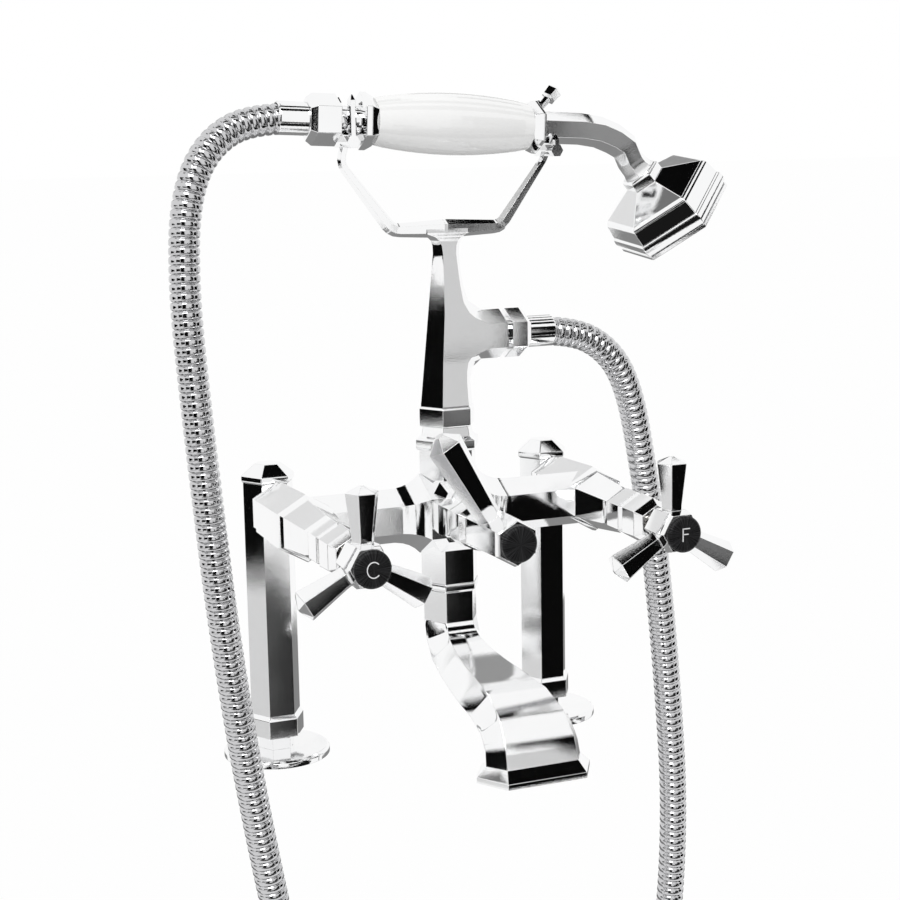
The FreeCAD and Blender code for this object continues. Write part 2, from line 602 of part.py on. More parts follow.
def grip_pieces():
    along = (hand_axis(1) - hand_axis(0)).normalize()
    corner = V(0, 1, 0).cross(along)
    face = hand_axis(TAIL_NUT_END)
    tail = fused([
        rod(hand_axis(TAIL_NUT_END), along, TAIL_R, -50.5 - TAIL_NUT_END),
        rod(hand_axis(TAIL_NUT_END - HANDSET_NUT_LONG + 7), along, STUB_R, HANDSET_NUT_LONG - 6),
    ])
    save("handset_tail", tail.cut(rod(hand_axis(TAIL_NUT_END - HANDSET_NUT_LONG), along, WATER_R, 60)))
    rear = hex_bar(hand_axis(0), along, corner, [
        (-50.5, COLLAR_R - 6), (-49.5, COLLAR_R), (-46, COLLAR_R), (GRIP_START, COLLAR_R - 2.4),
    ])
    save("rear_collar", rear.cut(rod(hand_axis(-50.5), along, WATER_R, 60)))
    grip = turned(hand_axis(0), along, grip_outline())
    hollow = rod(hand_axis(GRIP_START), along, CORE_R + SHAFT_GAP, GRIP_END - GRIP_START)
    save("porcelain_grip", grip.cut(hollow))
    core = ring(hand_axis(GRIP_START), along, CORE_R, WATER_R, GRIP_END - GRIP_START)
    save("core_tube", core)
    front = hex_bar(hand_axis(0), along, corner, [
        (GRIP_END, COLLAR_R - 2.6), (GRIP_END + 4, COLLAR_R - 1), (GRIP_END + 7, COLLAR_R - 1),
        (FRONT_COLLAR_END, COLLAR_R - 5.5),
    ])
    save("front_collar", front.cut(rod(hand_axis(GRIP_END), along, WATER_R, 60)))


def grip_outline():
    """Swells from both ends to its widest a little behind the middle."""
    steps = 14
    outline = []
    for k in range(steps + 1):
        t = k / steps
        swell = math.sin(math.pi * t) ** 0.8
        radius = GRIP_END_R + (GRIP_R - GRIP_END_R) * swell
        outline.append((GRIP_START + (GRIP_END - GRIP_START) * t, radius))
    return outline


def bent_sections(points, radii):
    """Hexagons square to the path through the points, in the plane of the hand shower."""
    wires = []
    last = len(points) - 1
    for k, (p, r) in enumerate(zip(points, radii)):
        along = points[min(k + 1, last)] - points[max(k - 1, 0)]
        if k == 0:
            along = hand_axis(1) - hand_axis(0)
        along.normalize()
        wires.append(hexagon(p, along, V(0, 1, 0).cross(along), r))
    return Part.makeLoft(wires, True, True)


def head_pieces():
    aim = math.radians(HEAD_AIM)
    along = V(math.sin(aim), 0, -math.cos(aim))
    top = V(HEAD_NUT_X, BODY_Y, HEAD_NUT_Z)
    # The neck is screwed in a little past upright, so it and the head lean about the handle's axis.
    base = hand_axis(0)
    axis = hand_axis(1) - base

    def leaned(shape):
        shape = shape.copy()
        shape.rotate(base, axis, HEAD_ROLL)
        return shape

    knee = hand_axis(86)
    bend = [
        hand_axis(FRONT_COLLAR_END), knee, knee + V(12.1, 0, -2.0), knee + V(22.1, 0, -5.9),
        top + V(-10.2, 0, 14.6), top - along * 9, top - along * 4, top,
    ]
    sizes = [HAND_NECK_R, HAND_NECK_R, HAND_NECK_R, HAND_NECK_R, 9.0, 8.7, 8.8, NECK_END_R]
    neck = bent_sections(bend, sizes).cut(bent_sections(bend, [WATER_R] * len(bend)))
    save("handset_neck", leaned(neck.cut(rod(top, along, HEAD_R, HEAD_R))))
    corner = V(0, -1, 0)
    nut = hex_bar(top, along, corner, [
        (0, NECK_END_R + 0.4), (1.2, HEAD_NUT_R), (HEAD_NUT_LONG, HEAD_NUT_R),
    ])
    save("head_nut", leaned(nut.cut(rod(top, along, WATER_R, HEAD_NUT_LONG))))
    start = top + along * HEAD_NUT_LONG
    shoulder = HEAD_R - 3.2
    rim = HEAD_DEEP - RIM_T
    bell = hex_bar(start, along, corner, [
        (0, HEAD_NUT_R), (BELL_SHOULDER, shoulder - 2.4), (BELL_SHOULDER + 1.6, shoulder - 0.4),
        (BELL_SHOULDER + 3.4, shoulder + 0.5), (rim, shoulder + 1.6), (rim + 1, HEAD_R - 0.5),
        (rim + RIM_T / 2, HEAD_R), (rim + 7, HEAD_R - 0.7), (HEAD_DEEP, HEAD_R - 2.2),
    ])
    plate_r = HEAD_R - 6.5
    hollow = hex_bar(start, along, corner, [
        (5, HEAD_NUT_R - 3), (BELL_SHOULDER + 2, shoulder - 5), (rim, plate_r), (HEAD_DEEP, plate_r),
    ])
    save("shower_head", leaned(bell.cut(hollow).cut(rod(start, along, WATER_R, 7))))
    plate_at = start + along * HEAD_DEEP
    plate = fused([
        hex_bar(plate_at, along, corner, [
            (0, HEAD_R - 1.3), (PLATE_T - 0.5, HEAD_R - 1.3), (PLATE_T, HEAD_R - 1.9),
        ]),
        hex_bar(plate_at, along, corner, [(-3.0, plate_r - SHAFT_GAP), (1, plate_r - SHAFT_GAP)]),
    ])
    holes = []
    side = along.cross(corner)
    for count, r in ((6, 8.0), (12, 16.0), (18, 23.5)):
        for k in range(count):
            a = 2 * math.pi * k / count
            p = plate_at + corner * (r * math.cos(a)) + side * (r * math.sin(a))
            holes.append(rod(p - along * 4, along, 0.8, PLATE_T + 5))
    save("rose_plate", leaned(plate.cut(Part.makeCompound(holes))))


HOSE_POINTS = [
    (80.0, -63.0, 255.4),
    (106.4, -62.3, 240.4),
    (121.5, -59.0, 213.8),
    (132.6, -54.0, 168.0),
    (144.5, -48.5, 112.0),
    (156.0, -43.5, 28.0),
    (163.5, -42.0, -70.0),
    (155.0, -43.0, -174.0),
    (112.0, -49.0, -274.0),
    (28.0, -59.0, -332.0),
    (-54.0, -70.0, -284.0),
    (-92.0, -79.0, -192.0),
    (-115.5, -84.0, -84.0),
    (-133.0, -86.0, 20.0),
    (-144.0, -86.0, 110.0),
    (-150.0, -84.0, 187.0),
    (-153.5, -80.5, 244.0),
    (-155.3, -77.0, 290.0),
    (-151.8, -71.5, 336.5),
    (-137.6, -66.2, 365.8),
]


def run_path(points):
    """Straight runs joined by tangent arcs. Returns the wire, the radii and the length."""
    edges = []
    radii = []
    here = points[0]
    for k in range(1, len(points) - 1):
        before = points[k] - points[k - 1]
        after = points[k + 1] - points[k]
        short = min(before.Length, after.Length)
        half = before.getAngle(after) / 2
        trim = 0.45 * short
        radii.append(trim / math.tan(half))
        before.normalize()
        after.normalize()
        start = points[k] - before * trim
        end = points[k] + after * trim
        inward = (after - before).normalize()
        middle = points[k] + inward * (radii[-1] / math.cos(half) - radii[-1])
        edges.append(Part.LineSegment(here, start).toShape())
        edges.append(Part.Arc(start, middle, end).toShape())
        here = end
    edges.append(Part.LineSegment(here, points[-1]).toShape())
    wire = Part.Wire(edges)
    return wire, radii, wire.Length


def hose_pieces():
    out = hose_end("riser", V(OUTLET_X, BODY_Y, OUTLET_Z), ALONG_X, UP, RISER_NUT_LONG)
    back = (hand_axis(0) - hand_axis(1)).normalize()
    far = hose_end("handset", hand_axis(TAIL_NUT_END), back, V(0, 1, 0).cross(back), HANDSET_NUT_LONG)
    points = [out] + [V(*p) for p in HOSE_POINTS] + [far + back * HOSE_FIRST_RUN, far]
    wire, radii, length = run_path(points)
    print("hose length", round(length), "smallest radius", round(min(radii), 1))
    print("hose points", [tuple(round(c, 1) for c in p) for p in points])
    print("radii", [round(r) for r in radii])
    print("runs", [round((b - a).Length) for a, b in zip(points, points[1:])])
    hose = tube(points[0], points[1], wire, HOSE_TUBE_R).cut(tube(points[0], points[1], wire, HOSE_BORE))
    section = math.pi * (HOSE_TUBE_R ** 2 - HOSE_BORE ** 2)
    print("volume against section times length", round(hose.Volume / (section * length), 3))
    save("hose", hose)


def tube(start, toward, wire, r):
    profile = Part.Wire(Part.makeCircle(r, start, (toward - start).normalize()))
    return wire.makePipeShell([profile], True, True)


for side_name, side_x in (("hot", -LEG_SPACING / 2), ("cold", LEG_SPACING / 2)):
    leg_pieces(side_name, side_x)
    valve_pieces(side_name, side_x)
casting()
diverter_pieces()
spout_pieces()
riser_pieces()
grip_pieces()
head_pieces()
hose_pieces()
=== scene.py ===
# %% [markdown]
# A bath mixer stands on the rim of a bath and sends its water either down the spout or up to a hand
# shower. This lesson dresses its plain solid model: a camera first, then the chrome, the marked discs,
# the porcelain and the hose, and last a white room to mirror. The frame brings in the solid model,
# already in place and in metres.

import json
import math

import bmesh
import bpy
from mathutils import Matrix, Vector


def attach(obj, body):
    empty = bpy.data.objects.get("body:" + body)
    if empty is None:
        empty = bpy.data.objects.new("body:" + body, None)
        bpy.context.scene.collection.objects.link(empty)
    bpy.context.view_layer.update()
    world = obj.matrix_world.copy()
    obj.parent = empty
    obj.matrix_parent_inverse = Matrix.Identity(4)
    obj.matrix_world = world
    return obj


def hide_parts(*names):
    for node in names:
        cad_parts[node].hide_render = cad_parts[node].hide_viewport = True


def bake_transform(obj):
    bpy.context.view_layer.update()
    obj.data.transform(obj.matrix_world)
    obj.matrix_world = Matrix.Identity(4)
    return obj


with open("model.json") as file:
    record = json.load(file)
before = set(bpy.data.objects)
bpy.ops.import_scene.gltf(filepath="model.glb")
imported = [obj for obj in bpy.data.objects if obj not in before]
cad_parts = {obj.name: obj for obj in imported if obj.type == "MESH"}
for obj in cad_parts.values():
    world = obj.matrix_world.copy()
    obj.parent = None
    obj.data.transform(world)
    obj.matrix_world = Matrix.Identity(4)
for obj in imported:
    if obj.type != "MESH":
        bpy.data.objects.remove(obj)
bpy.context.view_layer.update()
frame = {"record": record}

# %% [markdown]
# Three helpers do what new pieces need: they put an object into the scene, turn a bmesh into an object
# with its finish, and shade its faces smooth.


# %% New objects
def add_object(name, data):
    made = bpy.data.objects.new(name, data)
    bpy.context.scene.collection.objects.link(made)
    return made


def add_mesh(name, mesh, finish):
    """An object from a bmesh, which is freed."""
    data = bpy.data.meshes.new(name)
    mesh.to_mesh(data)
    mesh.free()
    data.materials.append(finish)
    return add_object(name, data)


def shade_smooth(data):
    for face in data.polygons:
        face.use_smooth = True


# %% [markdown]
# The camera stands a little above the valves and to the left. Its place and its lens were worked out
# from the legs, the caps and the handles, whose real places are known from the model.

# %% Camera
YAW, PITCH, ROLL = math.radians(22.32), math.radians(9.97), math.radians(-1.01)
EYE = (-0.395, -1.0289, 0.3728)
FOCAL_PX = 1828.3
IMAGE_PX = 900
SENSOR_MM = 36

forward = Vector((math.sin(YAW) * math.cos(PITCH), math.cos(YAW) * math.cos(PITCH), -math.sin(PITCH)))
level = Vector((math.cos(YAW), -math.sin(YAW), 0))
upward = level.cross(forward)
right = level * math.cos(ROLL) + upward * math.sin(ROLL)
top = upward * math.cos(ROLL) - level * math.sin(ROLL)
camera = add_object("camera", bpy.data.cameras.new("camera"))
camera.data.sensor_width = SENSOR_MM
camera.data.lens = FOCAL_PX / IMAGE_PX * SENSOR_MM
camera.data.clip_end = 50
axes = Matrix((right, top, -forward)).transposed()
camera.matrix_world = Matrix.Translation(EYE) @ axes.to_4x4()
bpy.context.scene.camera = camera
bpy.context.scene.view_settings.view_transform = "Standard"
print("camera lens", round(camera.data.lens, 2), "mm")


# %% [markdown]
# Shader maths reads best as sums. A small class wraps one output socket, so that `noise * 0.1 + 0.05`
# adds the Math nodes by itself. A second class holds one material and adds its nodes.

# %% A socket that does sums
class Signal:
    def __init__(self, shader, socket):
        self.shader, self.socket = shader, socket

    def _math(self, kind, other):
        return self.shader.node("ShaderNodeMath", {"operation": kind}, {0: self, 1: other})

    def __add__(self, other):
        return self._math("ADD", other)

    __radd__ = __add__

    def __mul__(self, other):
        return self._math("MULTIPLY", other)

    __rmul__ = __mul__


# %% A material and its nodes
class Shader:
    def __init__(self, name):
        self.material = bpy.data.materials.new(name)
        self.material.use_nodes = True
        self.tree = self.material.node_tree
        self.bsdf = self.tree.nodes["Principled BSDF"]

    def node(self, kind, settings=None, inputs=None, output=0):
        made = self.tree.nodes.new(kind)
        for key, value in (settings or {}).items():
            setattr(made, key, value)
        self.feed(made, inputs or {})
        return Signal(self, made.outputs[output])

    def feed(self, made, inputs):
        for key, value in inputs.items():
            if isinstance(value, Signal):
                self.tree.links.new(value.socket, made.inputs[key])
            else:
                made.inputs[key].default_value = value

    def place(self):
        """Where a point lies on the object, so that the pattern moves with it."""
        return self.node("ShaderNodeTexCoord", output="Object")

    def noise(self, vector, scale, detail):
        return self.node("ShaderNodeTexNoise", inputs={"Vector": vector, "Scale": scale, "Detail": detail})

    def bump(self, height, strength, distance, **more):
        inputs = {"Height": height, "Strength": strength, "Distance": distance, **more}
        return self.node("ShaderNodeBump", inputs=inputs)

    def mix(self, share, first, second):
        """A mix of two colours. Sockets 6, 7 and 2 are the colour ones of the Mix node."""
        inputs = {0: share, 6: first, 7: second}
        return self.node("ShaderNodeMix", {"data_type": "RGBA"}, inputs, output=2)

    def surface(self, **inputs):
        self.feed(self.bsdf, {key.replace("_", " "): value for key, value in inputs.items()})
        return self.material


def darker(colour, share):
    return tuple(c * share for c in colour[:3]) + (1,)


# %% [markdown]
# Chrome is a mirror, so what it shows is the room. These castings are polished by hand and are never
# quite flat, so a slow, shallow bump bends the reflections and a fine one roughens their borders. A
# faint cloud of finer noise dulls the mirror here and there, as water marks and wiping do.

# %% Chrome
WAVE_DEPTH, GRAIN_DEPTH = 0.002, 0.0004
GRAINS_PER_METRE, CLOUDS_PER_METRE = 2200.0, 60.0
CLOUD_DULL = 0.06


def make_chrome(name, tint, dull, ripple, ripples_per_metre, grain):
    """dull is the least roughness. ripple and grain are the strengths of the slow and the fine bump."""
    shader = Shader(name)
    place = shader.place()
    slow = shader.noise(place, ripples_per_metre, 1.0)
    fine = shader.noise(place, GRAINS_PER_METRE, 1.0)
    cloud = shader.noise(place, CLOUDS_PER_METRE, 3.0)
    waves = shader.bump(slow, ripple, WAVE_DEPTH)
    skin = shader.bump(fine, grain, GRAIN_DEPTH, Normal=waves)
    return shader.surface(
        Base_Color=shader.mix(cloud, tint, darker(tint, 0.96)), Metallic=1.0,
        Roughness=cloud * CLOUD_DULL + dull, Normal=skin)


chrome = make_chrome(
    "polished_chrome", (0.95, 0.952, 0.955, 1), dull=0.012, ripple=0.14, ripples_per_metre=24.0, grain=0.03)
hose_chrome = make_chrome(
    "hose_chrome", (0.62, 0.62, 0.63, 1), dull=0.08, ripple=0.03, ripples_per_metre=90.0, grain=0.03)
print("chrome finishes", chrome.name, hose_chrome.name)

# %% [markdown]
# The discs on the valves and on the lever are almost black, brushed from the middle outwards. Noise
# read on the direction from a disc's middle alone is the same all along each radius, which gives those
# strokes.

# %% Brushed discs
VALVE_X, VALVE_Z = 0.09, 0.1537
STROKE_SCALE = 26.0
STROKE_LOW, STROKE_HIGH = 0.36, 0.66
INK, WORN_INK = (0.002, 0.002, 0.002, 1), (0.045, 0.045, 0.047, 1)


def make_disc(name, x, z):
    """x and z are the middle of the disc, which faces -Y."""
    shader = Shader(name)
    centred = shader.node("ShaderNodeMapping", inputs={
        "Vector": shader.place(), "Location": (-x, 0, -z), "Scale": (1, 0, 1)})
    spoke = shader.node("ShaderNodeVectorMath", {"operation": "NORMALIZE"}, {0: centred})
    strokes = shader.node("ShaderNodeMapRange", inputs={
        "Value": shader.noise(spoke, STROKE_SCALE, 4.0), "From Min": STROKE_LOW, "From Max": STROKE_HIGH})
    return shader.surface(
        Base_Color=shader.mix(strokes, INK, WORN_INK), Metallic=0.5, Roughness=strokes * 0.2 + 0.16,
        Specular_IOR_Level=0.12, Normal=shader.bump(strokes, 0.25, GRAIN_DEPTH))


discs = {
    "index_cap_hot": make_disc("hot_disc", -VALVE_X, VALVE_Z),
    "index_cap_cold": make_disc("cold_disc", VALVE_X, VALVE_Z),
    "diverter_cap": make_disc("diverter_disc", 0, VALVE_Z),
}
print("brushed discs", list(discs))

# %% [markdown]
# The other finishes share one recipe: a base colour that drifts a little, and roughness that drifts
# with it. The porcelain has a clear glaze, which is a coat over the white body. The spindles are brass
# under a thin nickel plate, so that what shows of them behind the handles is silvery.

# %% Plain finishes
SPECK_DEPTH = 0.0003
SPECK_DULL = 0.08


def make_plain(name, colour, roughness, metallic=0.0, coat=0.0, scale=160.0):
    shader = Shader(name)
    grain = shader.noise(shader.place(), scale, 4.0)
    return shader.surface(
        Base_Color=shader.mix(grain, colour, darker(colour, 0.93)), Metallic=metallic,
        Roughness=grain * SPECK_DULL + roughness, Coat_Weight=coat, Coat_Roughness=0.03,
        Normal=shader.bump(grain, 0.05, SPECK_DEPTH))


finishes = {
    "chrome": chrome,
    "hose_steel": hose_chrome,
    "porcelain": make_plain("white_porcelain", (0.86, 0.86, 0.855, 1), 0.12, coat=0.7, scale=25.0),
    "brass": make_plain("machined_brass", (0.72, 0.55, 0.26, 1), 0.25, metallic=1.0),
    "rubber": make_plain("black_rubber", (0.03, 0.03, 0.03, 1), 0.6),
    "disc_ceramic": make_plain("ceramic_disc", (0.85, 0.83, 0.78, 1), 0.35),
    "grey_plastic": make_plain("grey_plastic", (0.45, 0.46, 0.47, 1), 0.3),
    "index_enamel": discs["diverter_cap"],
}
plated = make_plain("nickel_plate", (0.74, 0.72, 0.68, 1), 0.12, metallic=1.0)
own_finish = {"spindle_hot": plated, "spindle_cold": plated, "diverter_spindle": plated, **discs}
print("finishes", len(finishes) + 1)

# %% Finish every solid
slot_of = {row["node"]: row["material_slot"] for row in frame["record"]["subparts"]}
for node, slot in slot_of.items():
    solid = bpy.data.objects[node]
    solid.data.materials.clear()
    solid.data.materials.append(own_finish.get(node, finishes[slot]))
print("finished nodes", len(slot_of))

# %% [markdown]
# The solid model has knife edges, and no cast and polished fitting does: a narrow round on each edge
# is what catches the light there. Each chromed piece and each disc is shown by a merged copy of its
# solid with a bevel on every crease. The copy's normals are then weighed by the size of the faces
# round them, so that the broad faces stay flat mirrors and only the bevels look round.
#
# The widths here are upper limits. The bevel tool narrows all bevels of a piece alike, to keep them from
# running into one another. Short creases, and faces that end at a crease in a needle point, are the
# likely reason. The handles, the neck and the spout come out between 0.2 and 0.3 mm, and the casting,
# the legs, the cradle and the spray plate under 0.05 mm, which is as good as sharp.

# %% Rounded castings
WELD = 2e-6
SAME_PLANE = math.radians(0.5)
CREASE = math.radians(24)
WIDEST_MM = 0.3
own_widest_mm = {
    "mixer_body": 0.6, "leg_hot": 0.8, "leg_cold": 0.8, "cradle_riser": 0.7, "spout": 0.6,
    "handle_hot": 0.6, "handle_cold": 0.6, "diverter_lever": 0.6, "shower_head": 0.8,
    "handset_neck": 0.6, "leg_cap_hot": 0.6, "leg_cap_cold": 0.6, "index_cap_hot": 0.5,
    "index_cap_cold": 0.5, "diverter_cap": 0.5,
}


def weighed_normal(v):
    total = Vector()
    for face in v.link_faces:
        total += face.normal * face.calc_area()
    return total.normalized()


def rounded_copy(node):
    solid = bpy.data.objects[node]
    mesh = bmesh.new()
    mesh.from_mesh(solid.data)
    bmesh.ops.remove_doubles(mesh, verts=mesh.verts, dist=WELD)
    bmesh.ops.dissolve_limit(mesh, angle_limit=SAME_PLANE, verts=mesh.verts, edges=mesh.edges)
    creases = [e for e in mesh.edges if e.is_manifold and e.calc_face_angle() > CREASE]
    bmesh.ops.bevel(
        mesh, geom=creases, offset=own_widest_mm.get(node, WIDEST_MM) / 1000, offset_type="OFFSET",
        segments=2, profile=0.5, affect="EDGES", clamp_overlap=True, material=-1)
    normals = [weighed_normal(v) for v in mesh.verts]
    copy = add_mesh("polished_" + node, mesh, solid.data.materials[0])
    shade_smooth(copy.data)
    copy.data.normals_split_custom_set_from_vertices(normals)
    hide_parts(node)
    return copy


# %% [markdown]
# Each copy rides on the body of its solid, all but the ferrule at the hand shower, which rides on none.

# %% Copies on their bodies
body_of = {node: body for body, nodes in frame["record"]["behaviour"]["bodies"].items() for node in nodes}
castings = {}
for node, slot in slot_of.items():
    if slot in ("chrome", "index_enamel"):
        castings[node] = rounded_copy(node)
        if node != "hose_ferrule_handset":
            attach(castings[node], body_of[node])
print("rounded castings", len(castings))

# %% [markdown]
# Each valve disc bears one plain letter, thin and pale: C on the left and F on the right, the marks
# for hot and cold in several languages. Each is drawn flat in front of its disc and then given a
# little height, so that it stands on the disc like inlaid wire.

# %% Letters
DISC_FRONT = -0.182
LINE = 0.00055
LINE_HEIGHT = 0.00025
MIDDLE = (0, 0, 0)
pale_line = make_plain("pale_line", (0.82, 0.82, 0.83, 1), 0.35)


def square_grid(mesh, width, height):
    """A grid of one face about the middle, in x and y."""
    verts = bmesh.ops.create_grid(mesh, x_segments=1, y_segments=1, size=0.5)["verts"]
    bmesh.ops.scale(mesh, vec=(width, height, 1), verts=verts)
    return verts


def standing(mesh, name, body):
    """The flat letter is given its height, toward -Y, and rides on a body."""
    faces = bmesh.ops.extrude_face_region(mesh, geom=list(mesh.faces))["geom"]
    raised = [g for g in faces if isinstance(g, bmesh.types.BMVert)]
    bmesh.ops.translate(mesh, vec=(0, -LINE_HEIGHT, 0), verts=raised)
    bmesh.ops.recalc_face_normals(mesh, faces=mesh.faces)
    mark = add_mesh(name, mesh, pale_line)
    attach(mark, body)
    print(name, [round(v, 4) for v in mark.dimensions])


# %% [markdown]
# The C is one short edge, which a grid squashed to no height gives, spun round the middle. The turn
# stops short of a full circle by the gap on each side of the opening.

# %% The letter C
C_RADIUS = 0.0041
C_GAP = 42
C_NARROW = 0.88

mesh = bmesh.new()
square_grid(mesh, LINE, 0)
bmesh.ops.remove_doubles(mesh, verts=mesh.verts, dist=1e-7)
bmesh.ops.translate(mesh, vec=(C_RADIUS, 0, 0), verts=mesh.verts)
bmesh.ops.rotate(
    mesh, matrix=Matrix.Rotation(math.radians(-C_GAP), 3, "Y"), cent=MIDDLE, verts=mesh.verts)
bmesh.ops.spin(
    mesh, geom=list(mesh.verts) + list(mesh.edges), cent=MIDDLE, axis=(0, -1, 0),
    angle=math.radians(360 - 2 * C_GAP), steps=40, use_merge=False)
bmesh.ops.scale(mesh, vec=(C_NARROW, 1, 1), verts=mesh.verts)
bmesh.ops.translate(mesh, vec=(-VALVE_X, DISC_FRONT, VALVE_Z), verts=mesh.verts)
standing(mesh, "hot_letter", "hot_handle")

# %% [markdown]
# The F is three bars: a stem and two arms. Each row gives a bar's width and height and where its
# middle lies from the middle of the disc.

# %% The letter F
F_BARS = ((LINE, 0.0073, -0.0018, 0), (0.0042, LINE, 0.0003, 0.0034), (0.0033, LINE, -0.0001, 0.0003))

mesh = bmesh.new()
for width, height, x, z in F_BARS:
    bar = square_grid(mesh, width, height)
    bmesh.ops.rotate(mesh, matrix=Matrix.Rotation(math.radians(90), 3, "X"), cent=MIDDLE, verts=bar)
    bmesh.ops.translate(mesh, vec=(VALVE_X + x, DISC_FRONT, VALVE_Z + z), verts=bar)
standing(mesh, "cold_letter", "cold_handle")

# %% [markdown]
# The hose follows one spline. Its control points are the route of the solid hose, in metres, from the
# riser's outlet down to the loop and up to the hand shower.

# %% The line of the hose
HOSE_R = 0.0085
OUTLET = (0.0495, -0.063, 0.2555)
route = [
    OUTLET, (0.08, -0.063, 0.2554), (0.1064, -0.0623, 0.2404),
    (0.1215, -0.059, 0.2138), (0.1326, -0.054, 0.168), (0.1445, -0.0485, 0.112),
    (0.156, -0.0435, 0.028), (0.1635, -0.042, -0.07), (0.155, -0.043, -0.174), (0.112, -0.049, -0.274),
    (0.028, -0.059, -0.332), (-0.054, -0.07, -0.284), (-0.092, -0.079, -0.192),
    (-0.1155, -0.084, -0.084), (-0.133, -0.086, 0.02), (-0.144, -0.086, 0.11), (-0.15, -0.084, 0.187),
    (-0.1535, -0.0805, 0.244), (-0.1553, -0.077, 0.29), (-0.1518, -0.0715, 0.3365),
    (-0.1376, -0.0662, 0.3658), (-0.1109, -0.063, 0.3808), (-0.0805, -0.063, 0.3793),
]
curve = bpy.data.curves.new("hose_line", "CURVE")
curve.dimensions = "3D"
spline = curve.splines.new("NURBS")
spline.points.add(len(route) - 1)
for point, place in zip(spline.points, route):
    point.co = (*place, 1)
spline.order_u = 3
spline.use_endpoint_u = True
curve.resolution_u = 40
line_object = add_object("hose_line", curve)
line = [Vector(v.co) for v in bpy.data.meshes.new_from_object(line_object).vertices]
bpy.data.objects.remove(line_object)
print("points on the line", len(line))

# %% [markdown]
# To space the ribs evenly, a distance along the hose has to give a place on the line. The table of
# distances is searched by halves, and the place lies between the two points that are found.

# %% Places along the line
reach = [0.0]
for a, b in zip(line, line[1:]):
    reach.append(reach[-1] + (b - a).length)
hose_length = reach[-1]


def along_line(s):
    """The point at distance s and the direction of the line there."""
    low = 0
    high = len(reach) - 1
    while high - low > 1:
        middle = (low + high) // 2
        if reach[middle] <= s:
            low = middle
        else:
            high = middle
    part = (s - reach[low]) / (reach[high] - reach[low])
    return line[low].lerp(line[high], part), (line[high] - line[low]).normalized()


print("hose length", round(hose_length, 4))

# %% [markdown]
# The hose is wound from a metal strip, which shows as ribs. Each rib is a few rings: it rises from its
# groove over a shoulder to the full radius and falls back. Every new ring is extruded from the last.
# The side that starts the rings is carried along the line, so that the tube doesn't twist.

# %% The ribbed hose
RIB = 0.0048
GROOVE_R = 0.0072
SHOULDER_R = 0.0081
RING_SIDES = 24
rib_count = round(hose_length / RIB)
rib_rows = [
    (0.0, GROOVE_R), (0.12, SHOULDER_R), (0.3, HOSE_R), (0.72, HOSE_R), (0.9, SHOULDER_R), (0.97, GROOVE_R)]

mesh = bmesh.new()
ring = bmesh.ops.create_circle(mesh, segments=RING_SIDES, radius=1.0)["verts"]
unit_ring = [v.co.copy() for v in ring]
edges = list(mesh.edges)
side = None
for k in range(rib_count):
    for share, radius in rib_rows:
        centre, ahead = along_line(min((k + share) * hose_length / rib_count, hose_length - 1e-6))
        if side is None:
            side = ahead.orthogonal().normalized()
        else:
            made = bmesh.ops.extrude_edge_only(mesh, edges=edges)["geom"]
            ring = [g for g in made if isinstance(g, bmesh.types.BMVert)]
            edges = [g for g in made if isinstance(g, bmesh.types.BMEdge)]
        side = (side - ahead * side.dot(ahead)).normalized()
        other = ahead.cross(side)
        for v, flat in zip(ring, unit_ring):
            v.co = centre + (side * flat.x + other * flat.y) * radius
bmesh.ops.holes_fill(mesh, edges=[e for e in mesh.edges if e.is_boundary], sides=0)
bmesh.ops.recalc_face_normals(mesh, faces=mesh.faces)
hose = add_mesh("shower_hose", mesh, hose_chrome)
shade_smooth(hose.data)
print("ribs", rib_count)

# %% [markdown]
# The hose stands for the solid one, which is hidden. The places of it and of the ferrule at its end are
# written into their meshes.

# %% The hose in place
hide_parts("hose")
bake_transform(hose)
sleeve = castings["hose_ferrule_handset"]
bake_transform(sleeve)
print("hose bends with", sleeve.name)

# %% [markdown]
# A white room lights the mixer evenly from all sides. What is seen directly or in a mirror is pure
# white, and the light that falls on things is a little weaker, so that the porcelain keeps its shades.

# %% White world
AMBIENT = 0.8
world = bpy.data.worlds.new("studio")
bpy.context.scene.world = world
world.use_nodes = True
tree = world.node_tree
sky = tree.nodes["Background"]
sky.inputs["Color"].default_value = (1, 1, 1, 1)


def seen_directly(tree):
    """1 for camera, glossy and transmission rays, and 0 for the light that falls on things."""
    rays = tree.nodes.new("ShaderNodeLightPath")
    total = rays.outputs["Is Camera Ray"]
    for kind in ("Is Glossy Ray", "Is Transmission Ray"):
        most = tree.nodes.new("ShaderNodeMath")
        most.operation = "MAXIMUM"
        tree.links.new(total, most.inputs[0])
        tree.links.new(rays.outputs[kind], most.inputs[1])
        total = most.outputs[0]
    return total


strength = tree.nodes.new("ShaderNodeMapRange")
strength.inputs["To Min"].default_value = AMBIENT
tree.links.new(seen_directly(tree), strength.inputs["Value"])
tree.links.new(strength.outputs["Result"], sky.inputs["Strength"])
print("world", world.name)

# %% [markdown]
# Metal needs something darker to mirror as well, or it would look like white paint. So plain boards,
# most of them black, stand on every side of the room, where a photographer would put them. Each row
# of the table gives a board's two places on its wall, its width and height, and its shade. Only
# mirrors see the boards: they cast no shadow, light nothing and have no gloss of their own.


# %% A board
def board(name, centre, facing, width, height, colour):
    """A flat board whose front looks along facing."""
    mesh = bmesh.new()
    square_grid(mesh, width, height)
    turn = Vector(facing).to_track_quat("Z", "Y").to_matrix().to_4x4()
    bmesh.ops.transform(mesh, matrix=Matrix.Translation(centre) @ turn, verts=mesh.verts)
    paint = make_plain(name + "_paint", (colour, colour, colour, 1), 0.8, scale=3.0)
    made = add_mesh(name, mesh, paint)
    return made


